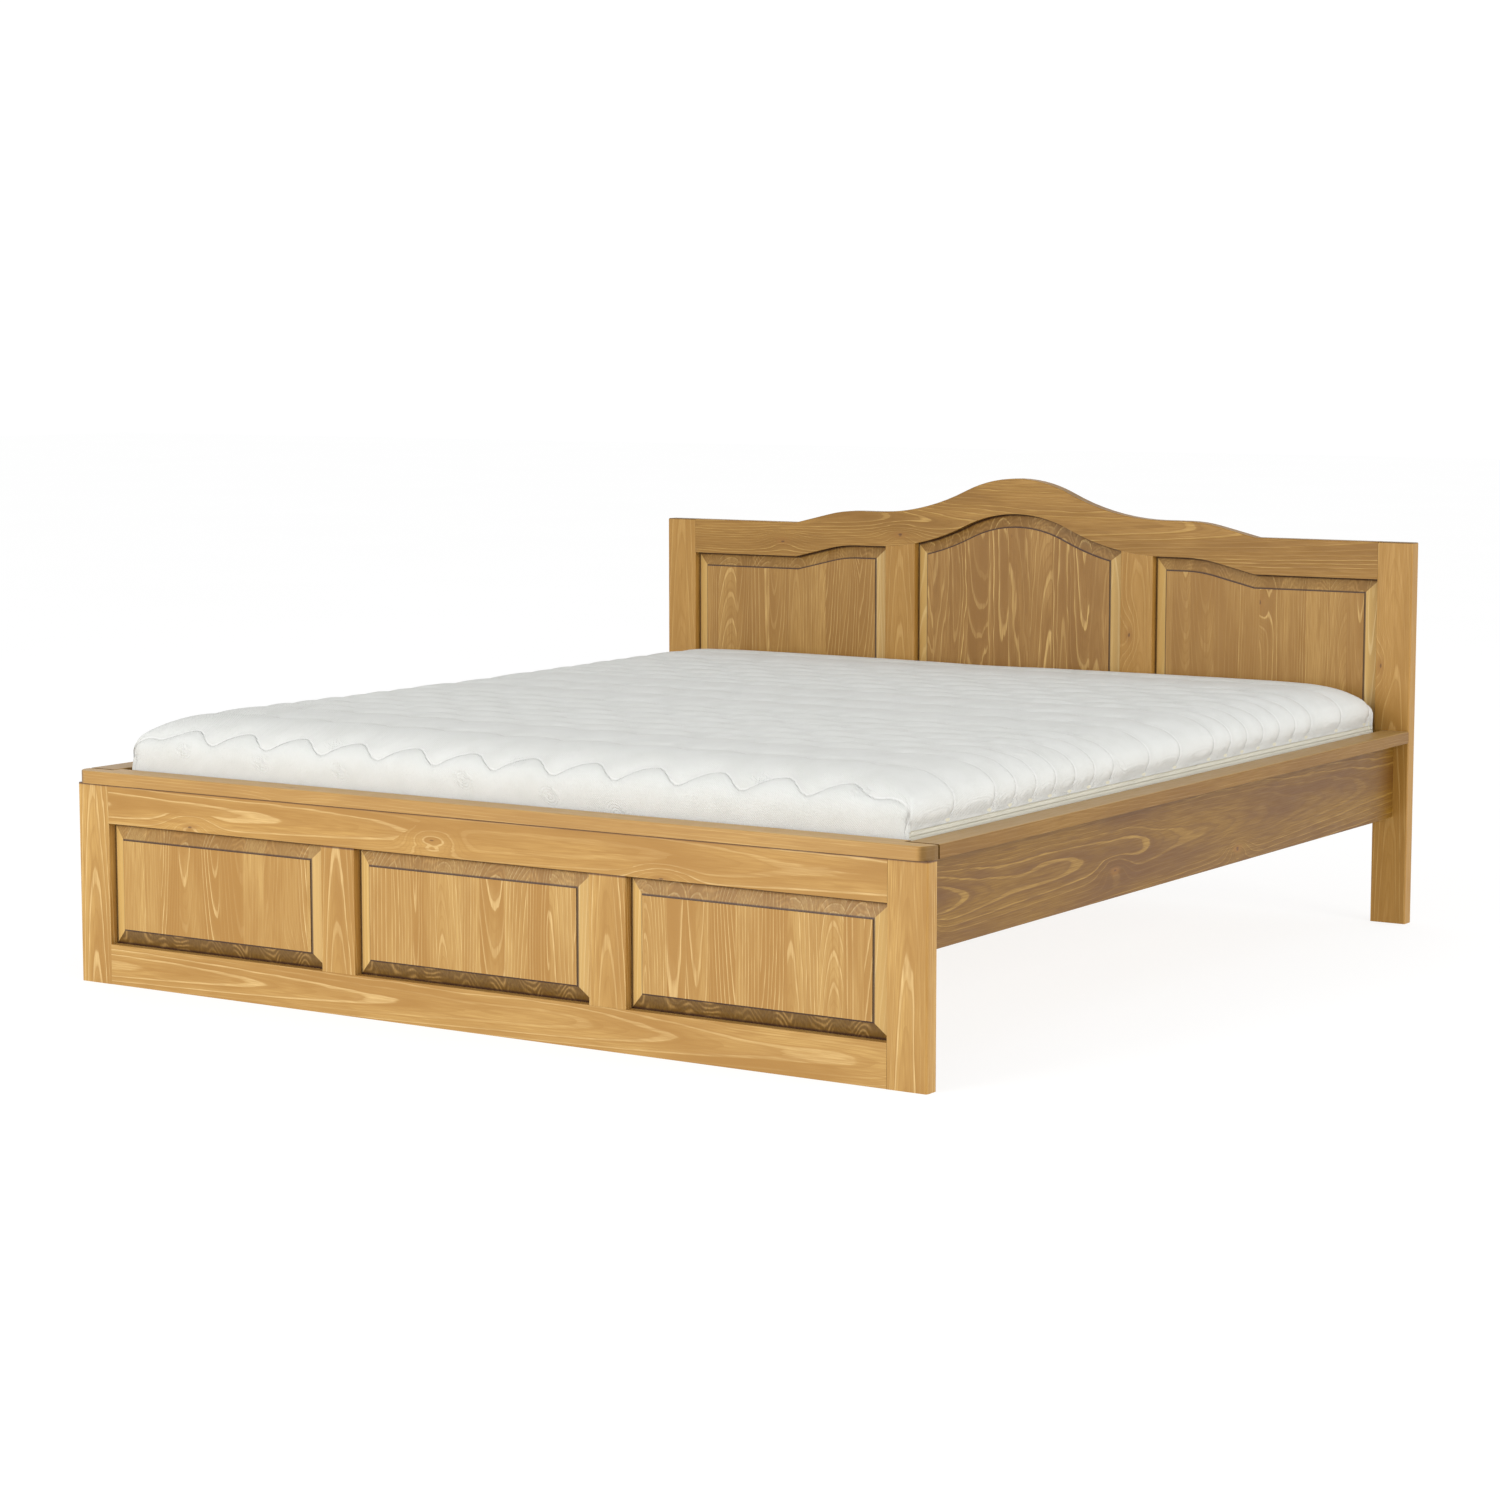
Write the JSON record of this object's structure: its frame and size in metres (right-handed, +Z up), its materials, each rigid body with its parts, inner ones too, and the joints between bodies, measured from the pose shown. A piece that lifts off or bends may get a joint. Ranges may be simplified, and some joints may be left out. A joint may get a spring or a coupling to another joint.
{
  "type": "double bed",
  "caption": "Pine double bed with a panelled footboard, an arched panelled headboard, capped side rails, loose slats, a middle beam with a screw foot and a lift-off mattress.",
  "frame": {"origin": "on the floor at the middle of the bed", "axes": "+X to the right seen from the foot, +Y from the foot to the head, +Z up"},
  "size_m": [1.94, 2.1, 0.947],
  "materials": {
    "pine_upright": "waxed brushed pine, grain upright",
    "pine_cross": "waxed brushed pine, grain across the bed",
    "pine_panel": "waxed brushed pine staves, grain upright, dark end grain on the level bevels",
    "pine_foot_cap": "waxed brushed pine, grain across the bed",
    "pine_side_cap": "waxed brushed pine, grain along the bed",
    "pine_side_rail": "waxed brushed pine, darker, grain along the bed",
    "raw_pine_long": "planed pine, unwaxed",
    "raw_pine_slat": "planed pine, unwaxed",
    "raw_pine_upright": "planed pine, unwaxed",
    "beech_dowel": "fluted beech",
    "zinc_plate": "zinc plated steel sheet",
    "zinc_screw": "yellow zinc plated steel",
    "brass_insert": "turned brass",
    "black_plastic": "moulded plastic pad on a screw",
    "webbing": "woven webbing",
    "mattress_knit": "off-white quilted knit",
    "foam": "cut foam"
  },
  "bodies": {
    "bed_frame": {"beam_brackets": "zinc_plate", "bracket_screws": "zinc_screw", "cap_dowels": "beech_dowel", "catch_plates": "zinc_plate", "centre_beam": "raw_pine_long", "centre_leg": "raw_pine_upright", "cleat_screws": "zinc_screw", "foot_bottom_rail": "pine_cross", "foot_cap": "pine_foot_cap", "foot_cleat": "raw_pine_slat", "foot_dowels": "beech_dowel", "foot_muntin_left": "pine_upright", "foot_muntin_right": "pine_upright", "foot_panel_centre": "pine_panel", "foot_panel_left": "pine_panel", "foot_panel_right": "pine_panel", "foot_stile_left": "pine_upright", "foot_stile_right": "pine_upright", "foot_top_rail": "pine_cross", "head_bottom_rail": "pine_cross", "head_cleat": "raw_pine_slat", "head_dowels": "beech_dowel", "head_muntin_left": "pine_upright", "head_muntin_right": "pine_upright", "head_panel_centre": "pine_panel", "head_panel_left": "pine_panel", "head_panel_right": "pine_panel", "head_post_left": "pine_upright", "head_post_right": "pine_upright", "head_top_rail": "pine_cross", "hook_plates": "zinc_plate", "ledge_screws": "zinc_screw", "leg_insert": "brass_insert", "leg_stud": "zinc_plate", "plate_screws": "zinc_screw", "side_cap_left": "pine_side_cap", "side_cap_right": "pine_side_cap", "side_rail_left": "pine_side_rail", "side_rail_right": "pine_side_rail", "slat_ledge_left": "raw_pine_long", "slat_ledge_right": "raw_pine_long"},
    "slat_roll": {"slat_01": "raw_pine_slat", "slat_02": "raw_pine_slat", "slat_03": "raw_pine_slat", "slat_04": "raw_pine_slat", "slat_05": "raw_pine_slat", "slat_06": "raw_pine_slat", "slat_07": "raw_pine_slat", "slat_08": "raw_pine_slat", "slat_09": "raw_pine_slat", "slat_10": "raw_pine_slat", "slat_11": "raw_pine_slat", "slat_12": "raw_pine_slat", "slat_13": "raw_pine_slat", "slat_strap_left": "webbing", "slat_strap_right": "webbing"},
    "mattress": {"mattress_core": "foam", "mattress_cover": "mattress_knit"},
    "screw_foot": {"screw_foot": "black_plastic"}
  },
  "joints": [
    {"name": "slats_lift", "type": "slide", "parent": "bed_frame", "child": "slat_roll", "axis": [0, 0, 1], "range_m": [0, 0.25]},
    {"name": "mattress_lift", "type": "slide", "parent": "slat_roll", "child": "mattress", "axis": [0, 0, 1], "range_m": [0, 0.35]},
    {"name": "foot_screw", "type": "slide", "parent": "bed_frame", "child": "screw_foot", "axis": [0, 0, 1], "range_m": [0, 0.01]}
  ]
}
